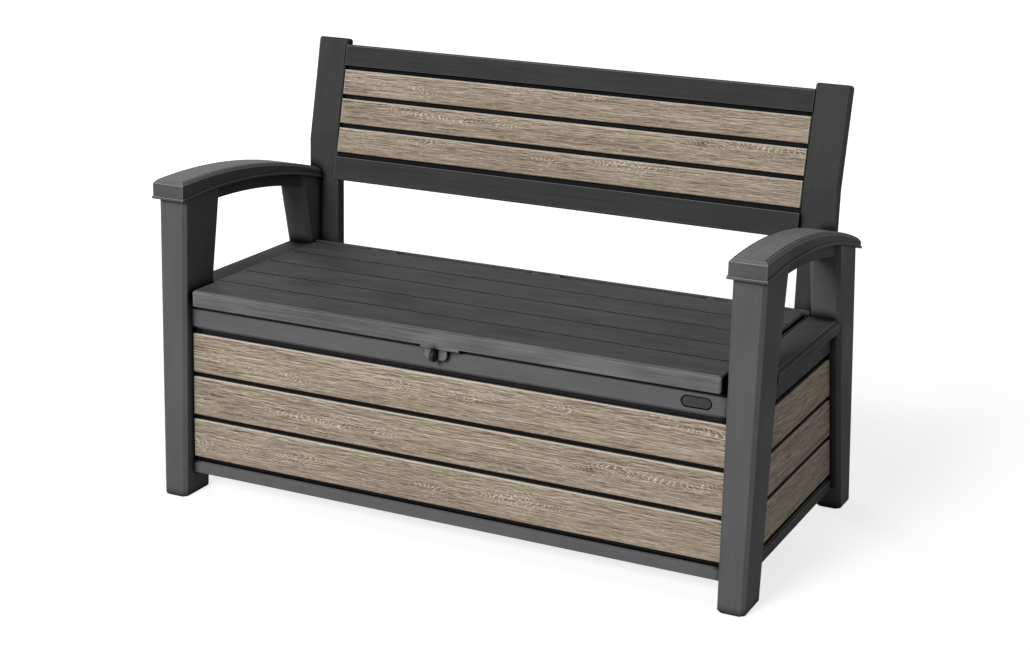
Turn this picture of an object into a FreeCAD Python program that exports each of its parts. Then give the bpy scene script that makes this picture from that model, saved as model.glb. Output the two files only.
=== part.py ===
import FreeCAD
import Part
import os
import re
import Sketcher
from FreeCAD import Rotation, Vector

# Outdoor storage bench in moulded resin. A box with a hinged seat lid stands between four legs, with
# arched armrests, a reclined backrest, and wood-look planks set in bays of the walls and the backrest.
# Millimetres, +Z up, +X to the sitter's left, and the front faces -Y. The origin is on the floor, below
# the middle of the outer box. Every y in the formulas is measured back from the front legs' front face.

DIMENSIONS = {
    # overall
    "span": 1306,               # over the outer faces of the legs
    "depth": 698,               # from the armrest's nose to the back of the rear feet
    "seat_height": 458,         # top of the closed lid
    "nose": 15,                 # armrest in front of the front legs
    "rear_inset": 166,          # back of the box in front of the rear feet
    "back_inset": 110,          # backrest panel inside the legs' outer faces
    # legs, as sections at the floor and at leg_top, which is above the arch that trims them
    "leg_spare": 13,
    "leg_top_width": 66.5,
    "leg_foot_width": 56,
    "front_top_depth": 139,
    "front_foot_depth": 83,
    "rear_top_depth": 126,
    "rear_foot_depth": 74,
    "rear_rake": 124,           # the rear leg's back edge leans forward by this much up to leg_top
    "front_rake": 11,           # the front leg's front edge leans back by this much up to leg_top
    "knee_rise": 12,            # above the seat, where the back of the front leg bends
    "front_knee_depth": 108,
    "leg_chamfer": 8,
    "leg_wall": 4,
    "foot_wall": 6,
    "foot_chamfer": 3,
    # armrests and the beams below them, on one arc
    "arm_crest": 80,            # y of the highest point
    "arm_rise": 230,            # above the seat
    "arm_short": 83,            # rear end in front of the rear feet's back
    "arm_radius": 1560,
    "arm_height": 34.6,
    "under_shift": 46,          # crest of the underside behind the crest of the top
    "cap_wall": 3,
    "cap_top": 4,
    "cap_gap": 0.3,
    "cap_chamfer": 6,
    "pad_line": 2.5,            # groove round the pad on the armrest
    "pad_depth": 1.5,
    "lip": 2,
    "lip_height": 5,
    "beam_drop": 26,            # beam below the armrest's lip
    "beam_inset": 8,            # beam inside the leg's faces
    # walls of the box
    "wall_setback": 19.5,       # rails behind the legs' outer faces
    "wall_thickness": 24,
    "box_bottom": 51,
    "rail_gap": 12,             # rail below the lid
    "rail_height": 43,
    "rail_chamfer": 7,
    "sill_top": 76,
    "sill_chamfer": 5,
    "bay_depth": 14,
    "flange": 14,               # floor flange, inward
    "flange_height": 8,
    "badge_length": 62,
    "badge_height": 24,
    "badge_recess": 1.5,
    "badge_inset": 127,         # centre of the badge recess from the legs' outer face
    # planks of the box
    "plank_setback": 2,         # planks behind the rails
    "plank_gap": 10,
    "plank_end_gap": 0.6,
    "plank_chamfer": 2,
    # ledge, gutter and shelf on top of the side walls
    "ledge_drop": 8,            # ledge below the seat
    "ledge_height": 33,
    "ledge_chamfer": 7,
    "shelf_reach": 43,          # shelf under the lid's end
    "shelf_height": 9,
    "rib_width": 3,
    "rib_drop": 11,             # rib below the seat
    # rear wall
    "rear_thickness": 12,
    "rear_drop": 2,             # wall below the seat
    "rear_step_drop": 95,       # below this depth the wall reaches the side walls
    "rear_relief": 6,
    "relief_depth": 2,
    "rear_end_gap": 0.5,
    # floor
    "floor_thickness": 8,
    "floor_gap": 0.5,
    "floor_rib": 5,
    # lid
    "lid_front": 1.5,
    "lid_rear_gap": 27,         # lid in front of the rear wall's back
    "lid_inset": 75,            # lid inside the legs' outer faces
    "lid_skirt": 33,
    "lid_wall": 5,
    "lid_skin": 6,
    "lid_corner": 6,
    "lid_chamfer": 4,
    "lid_groove": 5,
    "lid_groove_depth": 3,
    "lid_rib": 3,
    "lid_rib_depth": 14,
    "lid_clearance": 0.4,
    "lid_lip_half": 42,
    "lid_lip_height": 5,
    # hinge
    "hinge_inset": 19.5,        # axis in front of the rear wall's back
    "hinge_end": 253,           # outer hinges inside the legs' outer faces
    "hinge_drop": 7,            # axis below the seat
    "hinge_radius": 7,
    "knuckle_width": 30,
    "lug_width": 14,
    "lug_gap": 0.6,
    "lug_arm": 4,               # half height of the arm behind the lug
    "pin_radius": 4,
    "pin_clearance": 0.05,
    "pin_end": 2,
    "swing_inset": 8.5,         # upper part of the rear wall, clear of the lid's swing
    "swing_drop": 26,
    # hasp and staple
    "lock_shift": -11,
    "hasp_width": 48,
    "hasp_drop": 28,            # tongue below the lid's skirt
    "hasp_grip": 12,            # tongue behind the skirt
    "hasp_thickness": 5,
    "hasp_corner": 9,
    "staple_width": 8,
    "staple_gap": 2,
    "staple_reach": 22,         # eye in front of the rail
    "staple_drop": 6,           # eye below the rail's top
    "staple_radius": 12,
    "staple_plate": 3,
    "staple_plate_width": 34,
    "staple_plate_height": 12,
    "eye_radius": 4.5,
    # backrest
    "back_lead": 37,            # its face at the height back_base, in front of the rear wall's back
    "back_drop": 38,            # back_base below the seat
    "recline": 11.75,
    "post_width": 73,
    "post_depth": 30,
    "post_length": 502,         # along the slope
    "post_foot_depth": 48,
    "post_setback": 22,         # upright part of the post behind the rear wall
    "post_step_drop": 45,       # foot of the step in the post below the seat
    "post_step": 25,
    "post_foot": 110,
    "shoulder_drop": 20,        # post shoulder below the top of the rear leg
    "post_tongue": 43,          # width below the shoulder
    "post_chamfer": 4,
    "post_gap": 0.5,
    "back_thickness": 26,
    "back_web": 5,
    "back_bay": 13,
    "back_sill_bottom": 185,
    "back_sill_top": 237,
    "back_rail_bottom": 442,
    "back_rail_top": 489,
    "back_chamfer": 3,
    "back_plank_setback": 1,
    "back_plank_first": 248,
    "back_plank_height": 55,
    "back_plank_gap": 10,
    "back_plank_end_gap": 1,
    # bolts through the posts
    "bolt_radius": 4,
    "bolt_clearance": 0.3,
    "bolt_head_radius": 7,
    "bolt_head": 5,
    "bolt_foot": 70,            # lower bolt above the post's foot
    "bolt_drop": 68,            # upper bolt below the seat
    "bolt_tail": 3,
    "nut_radius": 6.5,
    "nut_height": 6.5,
}

# Sizes that follow from the cells above, so that what fits together stays together.
DERIVED = {
    "front": "nose - depth / 2",
    "rear_back": "depth - nose",
    "rear_face": "rear_back - rear_inset",
    "rear_in": "rear_face - rear_thickness",
    "wall_in": "wall_setback + wall_thickness",
    "bay": "wall_setback + bay_depth",
    "arm_top": "seat_height + arm_rise",
    "arm_end": "rear_back - arm_short",
    "arc_z": "arm_top - arm_radius",
    "under_crest": "arm_crest + under_shift",
    "under_arc": "arm_radius - arm_height",
    "leg_top": "arm_top + leg_spare",
    "knee": "seat_height + knee_rise",
    "leg_arc": "arm_radius - cap_top - cap_gap",
    "lid_bottom": "seat_height - lid_skirt",
    "lid_half": "span / 2 - lid_inset",
    "lid_rear": "rear_face - lid_rear_gap",
    "lid_rib_step": "2 * lid_half / 7",
    "rail_top": "lid_bottom - rail_gap",
    "rail_bottom": "rail_top - rail_height",
    "plank_height": "(rail_bottom - sill_top - 4 * plank_gap) / 3",
    "plank_step": "plank_height + plank_gap",
    "shelf_top": "lid_bottom - lid_clearance",
    "ledge_top": "seat_height - ledge_drop",
    "rib_top": "seat_height - rib_drop",
    "rear_top": "seat_height - rear_drop",
    "rear_step": "seat_height - rear_step_drop",
    "floor_bottom": "box_bottom + flange_height",
    "floor_rib_step": "hinge_spread / 2",
    "hinge_y": "rear_face - hinge_inset",
    "hinge_z": "seat_height - hinge_drop",
    "hinge_spread": "span / 2 - hinge_end",
    "swing_y": "rear_face - swing_inset",
    "staple_height": "rail_top - staple_drop",
    "back_half": "span / 2 - back_inset",
    "back_setback": "rear_face - back_lead",
    "back_base": "seat_height - back_drop",
    "post_front": "rear_face + post_setback",
    "post_back": "rear_face + post_foot_depth",
    "post_shoulder": "arc_z + sqrt(leg_arc ^ 2 - (post_front - arm_crest) ^ 2) - shoulder_drop",
    "bolt_low": "post_foot + bolt_foot",
    "bolt_high": "seat_height - bolt_drop",
}

SIDES = {"left": -1, "right": 1}
LEVELS = ("bottom", "middle", "top")
HINGES = {"left": -1, "centre": 0, "right": 1}

doc = FreeCAD.newDocument("storage_bench")
dims = doc.addObject("Spreadsheet::Sheet", "dims")
for row, (alias, size) in enumerate(DIMENSIONS.items(), start=1):
    dims.set(f"A{row}", alias)
    dims.set(f"B{row}", str(size))
    dims.setAlias(f"B{row}", alias)
doc.recompute()

CELL = re.compile(r"\b(" + "|".join(DIMENSIONS) + r")\b")
FOLLOWING = re.compile(r"\b(" + "|".join(DERIVED) + r")\b")
nodes = []


def bound(formula):
    """The expression on the sheet for a formula in plain names."""
    text = str(formula)
    while FOLLOWING.search(text):
        text = FOLLOWING.sub(lambda name: f"({DERIVED[name.group()]})", text)
    return CELL.sub(r"dims.\1", text)


def size_of(formula):
    """The present number of a formula."""
    return float(dims.evalExpression(bound(formula)))


# Edges of the legs at a height, which the pieces beside them follow.
def leg_width(z):
    return f"(leg_foot_width + (leg_top_width - leg_foot_width) * ({z}) / leg_top)"


def front_leg_front(z):
    return f"(front_rake * (({z}) / leg_top - 1))"


def front_leg_back(z):
    """Below the knee, where the box is."""
    return f"(front_foot_depth + (front_knee_depth - front_foot_depth) * ({z}) / knee)"


def front_arm_back(z):
    """Above the knee, where the leg widens into the arm."""
    return f"(front_knee_depth + (front_top_depth - front_knee_depth) * ({z} - knee) / (leg_top - knee))"


def rear_leg_front(z):
    foot = "(rear_back - rear_foot_depth)"
    return f"({foot} + (rear_foot_depth - rear_rake - rear_top_depth) * ({z}) / leg_top)"


def rear_leg_back(z):
    return f"(rear_back - rear_rake * ({z} - foot_chamfer) / leg_top)"


def plank_base(level):
    return f"(sill_top + plank_gap + {level} * plank_step)"


def new_body(label, x="0", y="front", z="0"):
    """A body with its own label, standing on the legs' front plane unless told otherwise."""
    body = doc.addObject("PartDesign::Body", label)
    body.Label = label
    for axis, formula in zip("xyz", (x, y, z)):
        body.setExpression(f"Placement.Base.{axis}", bound(formula))
    nodes.append(body)
    return body


def new_sketch(body, name, plane, offset="0"):
    """An empty sketch on one of the body's own planes, moved along the plane's normal."""
    sketch = body.newObject("Sketcher::SketchObject", f"{body.Name}_{name}")
    support = [item for item in body.Origin.OriginFeatures if item.Role == plane + "_Plane"][0]
    sketch.AttachmentSupport = (support, [""])
    sketch.MapMode = "FlatFace"
    sketch.setExpression("AttachmentOffset.Base.z", bound(offset))
    return sketch


def place(sketch, geometry, end, x, y):
    """Holds one point of a sketch at two formulas."""
    for kind, formula in (("DistanceX", x), ("DistanceY", y)):
        rule = Sketcher.Constraint(kind, -1, 1, geometry, end, size_of(formula))
        sketch.setExpression(f"Constraints[{sketch.addConstraint(rule)}]", bound(formula))


def outline(body, name, plane, *loops, offset="0"):
    """A sketch of closed straight-sided loops whose corners are formulas."""
    sketch = new_sketch(body, name, plane, offset)
    for loop in loops:
        corners = [Vector(size_of(x), size_of(y), 0) for x, y in loop]
        lines = [sketch.addGeometry(Part.LineSegment(start, end), False)
                 for start, end in zip(corners, corners[1:] + corners[:1])]
        for line, following in zip(lines, lines[1:] + lines[:1]):
            sketch.addConstraint(Sketcher.Constraint("Coincident", line, 2, following, 1))
        for line, (x, y) in zip(lines, loop):
            place(sketch, line, 1, x, y)
    return sketch


def rectangle(x0, x1, y0, y1):
    return [(x0, y0), (x1, y0), (x1, y1), (x0, y1)]


def circles(body, name, plane, places, *radii, offset="0"):
    """A sketch of circles of the given radii around each place."""
    sketch = new_sketch(body, name, plane, offset)
    for x, y in places:
        for radius in radii:
            middle = Vector(size_of(x), size_of(y), 0)
            circle = sketch.addGeometry(Part.Circle(middle, Vector(0, 0, 1), size_of(radius)), False)
            place(sketch, circle, 3, x, y)
            rule = sketch.addConstraint(Sketcher.Constraint("Radius", circle, size_of(radius)))
            sketch.setExpression(f"Constraints[{rule}]", bound(radius))
    return sketch


def arc_band(body, name, inner, outer, front, back):
    """A sketch of the band between two arcs, cut off upright at both ends.

    An arc is given by the y of its crest and its radius.
    """
    sketch = new_sketch(body, name, "YZ")
    corners = []
    for crest, radius in (inner, outer):
        middle = Vector(size_of(crest), size_of("arc_z"), 0)
        circle = Part.Circle(middle, Vector(0, 0, 1), size_of(radius))
        reach = [Vector(size_of(y) - middle.x, size_of(radius), 0) for y in (back, front)]
        ends = [circle.parameter(middle + offset) for offset in reach]
        arc = sketch.addGeometry(Part.ArcOfCircle(circle, *ends), False)
        place(sketch, arc, 3, crest, "arc_z")
        rule = sketch.addConstraint(Sketcher.Constraint("Radius", arc, size_of(radius)))
        sketch.setExpression(f"Constraints[{rule}]", bound(radius))
        corners.append([sketch.getPoint(arc, end) for end in (1, 2)])
    for end, y in ((1, back), (2, front)):
        line = sketch.addGeometry(Part.LineSegment(corners[0][end - 1], corners[1][end - 1]), False)
        sketch.addConstraint(Sketcher.Constraint("Coincident", line, 1, 0, end))
        sketch.addConstraint(Sketcher.Constraint("Coincident", line, 2, 1, end))
        sketch.addConstraint(Sketcher.Constraint("Vertical", line))
        rule = sketch.addConstraint(Sketcher.Constraint("DistanceX", -1, 1, line, 1, size_of(y)))
        sketch.setExpression(f"Constraints[{rule}]", bound(y))
    return sketch


def grow(body, sketch, length, symmetric=False, reverse=False):
    """Pads a sketch by a formula."""
    pad = body.newObject("PartDesign::Pad", sketch.Name + "_pad")
    pad.Profile = sketch
    pad.SideType = "Symmetric" if symmetric else "One side"
    pad.Reversed = reverse
    pad.setExpression("Length", bound(length))
    doc.recompute()
    return pad


def cut(body, sketch, length, symmetric=False, reverse=False):
    """Pockets a sketch by a formula, and makes sure that it took something away."""
    before = body.Shape.Volume
    pocket = body.newObject("PartDesign::Pocket", sketch.Name + "_cut")
    pocket.Profile = sketch
    pocket.SideType = "Symmetric" if symmetric else "One side"
    pocket.Reversed = reverse
    pocket.setExpression("Length", bound(length))
    doc.recompute()
    if not body.Shape.Volume < before - 1e-3:
        raise RuntimeError(f"{pocket.Name} cuts nothing")
    return pocket


def loft(body, kind, sections):
    """A straight loft through outlines at the given heights."""
    sketches = [outline(body, f"{kind}_{number}", "XY", corners, offset=height)
                for number, (height, corners) in enumerate(sections.items())]
    feature = body.newObject(f"PartDesign::{kind}", f"{body.Name}_{kind}")
    feature.Profile = sketches[0]
    feature.Sections = sketches[1:]
    feature.Ruled = True
    doc.recompute()
    return feature


def dress(body, kind, formula, chosen):
    """Chamfers or fillets the edges that a test picks."""
    base = body.Tip
    names = [f"Edge{number}" for number, edge in enumerate(base.Shape.Edges, start=1) if chosen(edge)]
    feature = body.newObject(f"PartDesign::{kind}", f"{body.Name}_{kind.lower()}_{len(body.Group)}")
    feature.Base = (base, names)
    feature.setExpression("Radius" if kind == "Fillet" else "Size", bound(formula))
    doc.recompute()
    return feature


def lies_at(formulas):
    """A test for edges that lie at the given formulas of the body's own axes."""
    marks = [("XYZ".index(axis), size_of(formula)) for axis, formula in formulas]

    def test(edge):
        box = edge.BoundBox
        low = (box.XMin, box.YMin, box.ZMin)
        high = (box.XMax, box.YMax, box.ZMax)
        return all(abs(low[i] - mark) < 0.01 and abs(high[i] - mark) < 0.01 for i, mark in marks)

    return test


def any_of(*tests):
    return lambda edge: any(test(edge) for test in tests)


def repeat(body, feature, axis, span, count):
    """A row of copies of one feature along an axis of the body."""
    row = body.newObject("PartDesign::LinearPattern", feature.Name + "_row")
    row.Originals = [feature]
    row.Direction = ([item for item in body.Origin.OriginFeatures if item.Role == axis + "_Axis"][0], [""])
    row.setExpression("Length", bound(span))
    row.Occurrences = count
    body.Tip = row
    doc.recompute()
    return row


# Legs. Each is a loft from a foot to a top section with chamfered corners, hollow from above. The
# front legs bend at a knee above the seat.
def leg_section(side, width, front, back, inset="0"):
    """Corners of a chamfered section, counted inwards from the leg's outer face."""
    sides = (inset, f"({width} - {inset})")
    ends = (f"({front} + {inset})", f"({back} - {inset})")
    ring = [(f"{sides[0]} + leg_chamfer", ends[0]), (f"{sides[1]} - leg_chamfer", ends[0]),
            (sides[1], f"{ends[0]} + leg_chamfer"), (sides[1], f"{ends[1]} - leg_chamfer"),
            (f"{sides[1]} - leg_chamfer", ends[1]), (f"{sides[0]} + leg_chamfer", ends[1]),
            (sides[0], f"{ends[1]} - leg_chamfer"), (sides[0], f"{ends[0]} + leg_chamfer")]
    return [(f"{-side} * ({u})", y) for u, y in ring]


def leg(end, name, side):
    body = new_body(f"{end}_{name}_leg", x=f"{side} * span / 2")

    def section(z, inset="0"):
        if end == "rear":
            return leg_section(side, leg_width(z), rear_leg_front(z), rear_leg_back(z), inset)
        back = front_arm_back(z) if z == "leg_top" else front_leg_back(z)
        return leg_section(side, leg_width(z), front_leg_front(z), back, inset)

    bends = ("knee", "leg_top") if end == "front" else ("leg_top",)
    outside = {"0": section("foot_chamfer", "foot_chamfer"), "foot_chamfer": section("foot_chamfer")}
    outside.update({z: section(z) for z in bends})
    inside = {z: section(z, "leg_wall") for z in ("foot_wall", *bends)}
    loft(body, "AdditiveLoft", outside)
    loft(body, "SubtractiveLoft", inside)
    above = circles(body, "above_arc", "YZ", [("arm_crest", "arc_z")], "leg_arc", "leg_arc + leg_top")
    cut(body, above, "2 * span", symmetric=True)
    if end == "rear":
        inside = f"{-side} * (span / 2 - back_half - post_width - post_gap)"
        corners = rectangle(inside, f"{-side} * span", "post_shoulder", "2 * leg_top")
        cut(body, outline(body, "post_seat", "XZ", corners, offset="-(post_front - post_gap)"), "depth")


# Armrests. The cap is an arched channel that hangs over the leg tops, notched for the backrest post.
def arm_middle(side):
    return f"{side} * (span / 2 - leg_top_width / 2)"


def armrest(name, side):
    body = new_body(f"{name}_armrest", x=arm_middle(side))
    top, under = ("arm_crest", "arm_radius"), ("under_crest", "under_arc")
    room = "(leg_top_width + 2 * cap_gap)"
    width = f"({room} + 2 * cap_wall)"
    front, back = "-(nose - lip)", "(arm_end - lip)"
    grow(body, arc_band(body, "cap", under, top, front, back), width, symmetric=True)
    crest = Vector(0, size_of("arm_crest"), size_of("arc_z"))

    def on_top(edge):
        """Edges of the top face, which is the only face at the full radius."""
        reach = [(Vector(0, point.Y, point.Z) - crest).Length for point in edge.Vertexes]
        return all(abs(length - size_of("arm_radius")) < 0.01 for length in reach)

    dress(body, "Chamfer", "cap_chamfer", on_top)
    pad_width = f"({width} - 2 * cap_chamfer)"
    pad_front, pad_back = f"({front} + cap_chamfer)", f"({back} - cap_chamfer)"
    sunk_arc = ("arm_crest", "arm_radius - pad_depth")
    above_arc = ("arm_crest", "arm_radius + pad_depth")
    cut(body, arc_band(body, "sunk", sunk_arc, above_arc, pad_front, pad_back), pad_width, symmetric=True)
    root_arc = ("arm_crest", "arm_radius - (cap_top + pad_depth) / 2")
    pad = arc_band(body, "pad", root_arc, top, f"{pad_front} + pad_line", f"{pad_back} - pad_line")
    grow(body, pad, f"{pad_width} - 2 * pad_line", symmetric=True)
    lip = arc_band(body, "lip", under, ("under_crest", "under_arc + lip_height"), "-nose", "arm_end")
    grow(body, lip, f"{width} + 2 * lip", symmetric=True)
    open_arc, ceiling_arc = ("under_crest", "under_arc - lip_height"), ("arm_crest", "arm_radius - cap_top")
    hollow = arc_band(body, "hollow", open_arc, ceiling_arc, f"{front} + cap_wall", f"{back} - cap_wall")
    cut(body, hollow, room, symmetric=True)
    inside = f"{-side} * (span / 2 - leg_top_width / 2 - back_half - post_width - post_gap)"
    notch = rectangle(inside, f"{-side} * span", "post_front - post_gap", "depth")
    cut(body, outline(body, "post_notch", "XY", notch), "2 * arm_top", symmetric=True)


def arm_beam(name, side):
    body = new_body(f"{name}_arm_beam", x=arm_middle(side))
    low, high = "(knee)", "(arm_top + arm_height)"
    ends = [(front_arm_back(low), low), (rear_leg_front(low), low),
            (rear_leg_front(high), high), (front_arm_back(high), high)]
    grow(body, outline(body, "between_legs", "YZ", ends), "leg_top_width - 2 * beam_inset", symmetric=True)
    above = circles(body, "above_arc", "YZ", [("arm_crest", "arc_z")], "leg_arc", "leg_arc + arm_top")
    cut(body, above, "2 * leg_top_width", symmetric=True)
    below = circles(body, "below_arc", "YZ", [("under_crest", "arc_z")], "under_arc - beam_drop")
    cut(body, below, "2 * leg_top_width", symmetric=True)


# Walls of the box, each one section pushed along the wall and cut off at the legs' faces.
def front_panel():
    body = new_body("front_panel")
    section = [("wall_setback", "box_bottom"), ("wall_setback", "sill_top - sill_chamfer"),
               ("wall_setback + sill_chamfer", "sill_top"), ("bay", "sill_top"), ("bay", "rail_bottom"),
               ("wall_setback + rail_chamfer", "rail_bottom"), ("wall_setback", "rail_bottom + rail_chamfer"),
               ("wall_setback", "rail_top"), ("wall_in", "rail_top"), ("wall_in", "floor_bottom"),
               ("wall_in + flange", "floor_bottom"), ("wall_in + flange", "box_bottom")]
    grow(body, outline(body, "section", "YZ", section), "span", symmetric=True)
    ends = []
    for side in SIDES.values():
        inner = {z: f"{side} * (span / 2 - {leg_width(z)})" for z in ("0", "seat_height")}
        ends.append([(inner["0"], "0"), (inner["seat_height"], "seat_height"),
                     (f"{side} * span", "seat_height"), (f"{side} * span", "0")])
    cut(body, outline(body, "leg_faces", "XZ", *ends), "2 * depth", symmetric=True)
    middle = {"x": "span / 2 - badge_inset", "z": "(rail_bottom + rail_chamfer + rail_top) / 2"}
    recess = rectangle(f"{middle['x']} - badge_length / 2", f"{middle['x']} + badge_length / 2",
                       f"{middle['z']} - badge_height / 2", f"{middle['z']} + badge_height / 2")
    cut(body, outline(body, "badge", "XZ", recess, offset="-wall_setback"), "badge_recess")
    corners = [lies_at([("X", x), ("Z", z)]) for x, z in recess]
    dress(body, "Fillet", "badge_height / 2 - 0.1", any_of(*corners))


def side_panel(name, side):
    body = new_body(f"{name}_side_panel", x=f"{side} * span / 2")
    rib = f"({leg_width('seat_height')} + rib_width)"
    gutter = "(shelf_top)"
    deck = f"{leg_width('seat_height')}"
    shelf = "(wall_in + shelf_reach)"
    section = [("wall_setback", "box_bottom"), ("wall_setback", "sill_top - sill_chamfer"),
               ("wall_setback + sill_chamfer", "sill_top"), ("bay", "sill_top"), ("bay", "rail_bottom"),
               ("wall_setback + rail_chamfer", "rail_bottom"), ("wall_setback", "rail_bottom + rail_chamfer"),
               ("wall_setback", "seat_height - ledge_height"), ("0", "seat_height - ledge_height"),
               ("0", "ledge_top - ledge_chamfer"), ("ledge_chamfer", "ledge_top"), (deck, "ledge_top"),
               (deck, gutter), (f"{rib} + rib_width", gutter), (f"{rib} + rib_width", "rib_top"),
               (f"{rib} + 2 * rib_width", "rib_top"), (f"{rib} + 2 * rib_width", gutter), (shelf, gutter),
               (shelf, f"{gutter} - shelf_height"), ("wall_in", f"{gutter} - shelf_height"),
               ("wall_in", "floor_bottom"), ("wall_in + flange", "floor_bottom"),
               ("wall_in + flange", "box_bottom")]
    mirrored = [(f"{-side} * ({u})", z) for u, z in section]
    grow(body, outline(body, "section", "XZ", mirrored), "depth", reverse=True)
    levels = ("0", "knee")
    front = [(front_leg_back(z), z) for z in levels] + [("-depth", "knee"), ("-depth", "0")]
    back = [(rear_leg_front(z), z) for z in levels] + [("2 * depth", "knee"), ("2 * depth", "0")]
    cut(body, outline(body, "leg_faces", "YZ", front, back), "2 * span", symmetric=True)


def rear_panel():
    body = new_body("rear_panel")
    step = "(seat_height - swing_drop)"
    relief = "(rear_face - relief_depth)"
    section = [("rear_in - flange", "box_bottom"), ("rear_face", "box_bottom")]
    for level in (1, 2):
        low = f"({plank_base(level)} - plank_gap / 2 - rear_relief / 2)"
        section += [("rear_face", low), (relief, low), (relief, f"{low} + rear_relief"),
                    ("rear_face", f"{low} + rear_relief")]
    section += [("rear_face", "rear_top"), ("swing_y", "rear_top"), ("swing_y", step), ("rear_in", step),
                ("rear_in", "floor_bottom"), ("rear_in - flange", "floor_bottom")]
    half = "(span / 2 - wall_in)"
    grow(body, outline(body, "section", "YZ", section), f"2 * {half}", symmetric=True)
    leg_inside = "(span / 2 - leg_top_width - rear_end_gap)"
    ends = [rectangle(f"{side} * {leg_inside}", f"{side} * span", "rear_step", "leg_top")
            for side in SIDES.values()]
    cut(body, outline(body, "beside_legs", "XZ", *ends), "2 * depth", symmetric=True)
    corners = [rectangle(f"{side} * ({half} - flange)", f"{side} * span", "0", "floor_bottom")
               for side in SIDES.values()]
    inside = outline(body, "beside_flanges", "XZ", *corners, offset="-(rear_in - flange)")
    cut(body, inside, "flange + rear_thickness")
    wide = "(knuckle_width + 2 * (lug_gap + lug_width))"
    axis = [("hinge_y", "hinge_z")]
    for name, place_along in HINGES.items():
        x = f"{place_along} * hinge_spread"
        eye = circles(body, f"{name}_lug", "YZ", axis, "hinge_radius", offset=x)
        arm = outline(body, f"{name}_arm", "YZ",
                      rectangle("hinge_y", "swing_y", "hinge_z - lug_arm", "hinge_z + lug_arm"), offset=x)
        gap = outline(body, f"{name}_gap", "YZ",
                      rectangle("hinge_y - 2 * hinge_radius", "swing_y", "hinge_z - 2 * hinge_radius",
                                "hinge_z + 2 * hinge_radius"), offset=x)
        bore = circles(body, f"{name}_bore", "YZ", axis, "pin_radius + pin_clearance", offset=x)
        grow(body, arm, wide, symmetric=True)
        grow(body, eye, wide, symmetric=True)
        cut(body, gap, "knuckle_width + 2 * lug_gap", symmetric=True)
        cut(body, bore, wide, symmetric=True)
    cut(body, circles(body, "bolt_holes", "XZ", bolt_places(), "bolt_radius + bolt_clearance"), "2 * depth",
        symmetric=True)


def floor_panel():
    body = new_body("floor_panel", z="floor_bottom")
    half = "(span / 2 - wall_in - floor_gap)"
    notch_x = f"(span / 2 - {leg_width('sill_top')} - floor_gap)"
    notch_y = f"({front_leg_back('sill_top')} + floor_gap)"
    front, back = "(wall_in + floor_gap)", "(rear_in - floor_gap)"
    corners = [(f"-{notch_x}", front), (notch_x, front), (notch_x, notch_y), (half, notch_y), (half, back),
               (f"-{half}", back), (f"-{half}", notch_y), (f"-{notch_x}", notch_y)]
    grow(body, outline(body, "slab", "XY", corners), "floor_thickness")
    first = "(-2 * floor_rib_step)"
    rib = rectangle(f"{first} - floor_rib / 2", f"{first} + floor_rib / 2",
                    "wall_in + flange + floor_gap", "rear_in - flange - floor_gap")
    ribs = grow(body, outline(body, "rib", "XY", rib), "flange_height", reverse=True)
    repeat(body, ribs, "X", "4 * floor_rib_step", 5)


# Planks. Their ends follow the faces of the legs beside them.
def round_front(body, axis, formula):
    dress(body, "Chamfer", "plank_chamfer", lies_at([(axis, formula)]))


def front_plank(level):
    body = new_body(f"front_plank_{LEVELS[level]}")
    low = plank_base(level)
    high = f"({low} + plank_height)"
    inner = {z: f"(span / 2 - {leg_width(z)} - plank_end_gap)" for z in (low, high)}
    corners = [(f"-{inner[low]}", low), (inner[low], low), (inner[high], high), (f"-{inner[high]}", high)]
    face = "wall_setback + plank_setback"
    board = outline(body, "face", "XZ", corners, offset=f"-({face})")
    grow(body, board, "bay_depth - plank_setback", reverse=True)
    round_front(body, "Y", face)


def side_plank(name, side, level):
    body = new_body(f"{name}_side_plank_{LEVELS[level]}", x=f"{side} * span / 2")
    low = plank_base(level)
    high = f"({low} + plank_height)"
    near = {z: f"({front_leg_back(z)} + plank_end_gap)" for z in (low, high)}
    far = {z: f"({rear_leg_front(z)} - plank_end_gap)" for z in (low, high)}
    corners = [(near[low], low), (far[low], low), (far[high], high), (near[high], high)]
    face = f"{-side} * (wall_setback + plank_setback)"
    board = outline(body, "face", "YZ", corners, offset=face)
    grow(body, board, "bay_depth - plank_setback", reverse=side > 0)
    round_front(body, "X", face)


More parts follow.
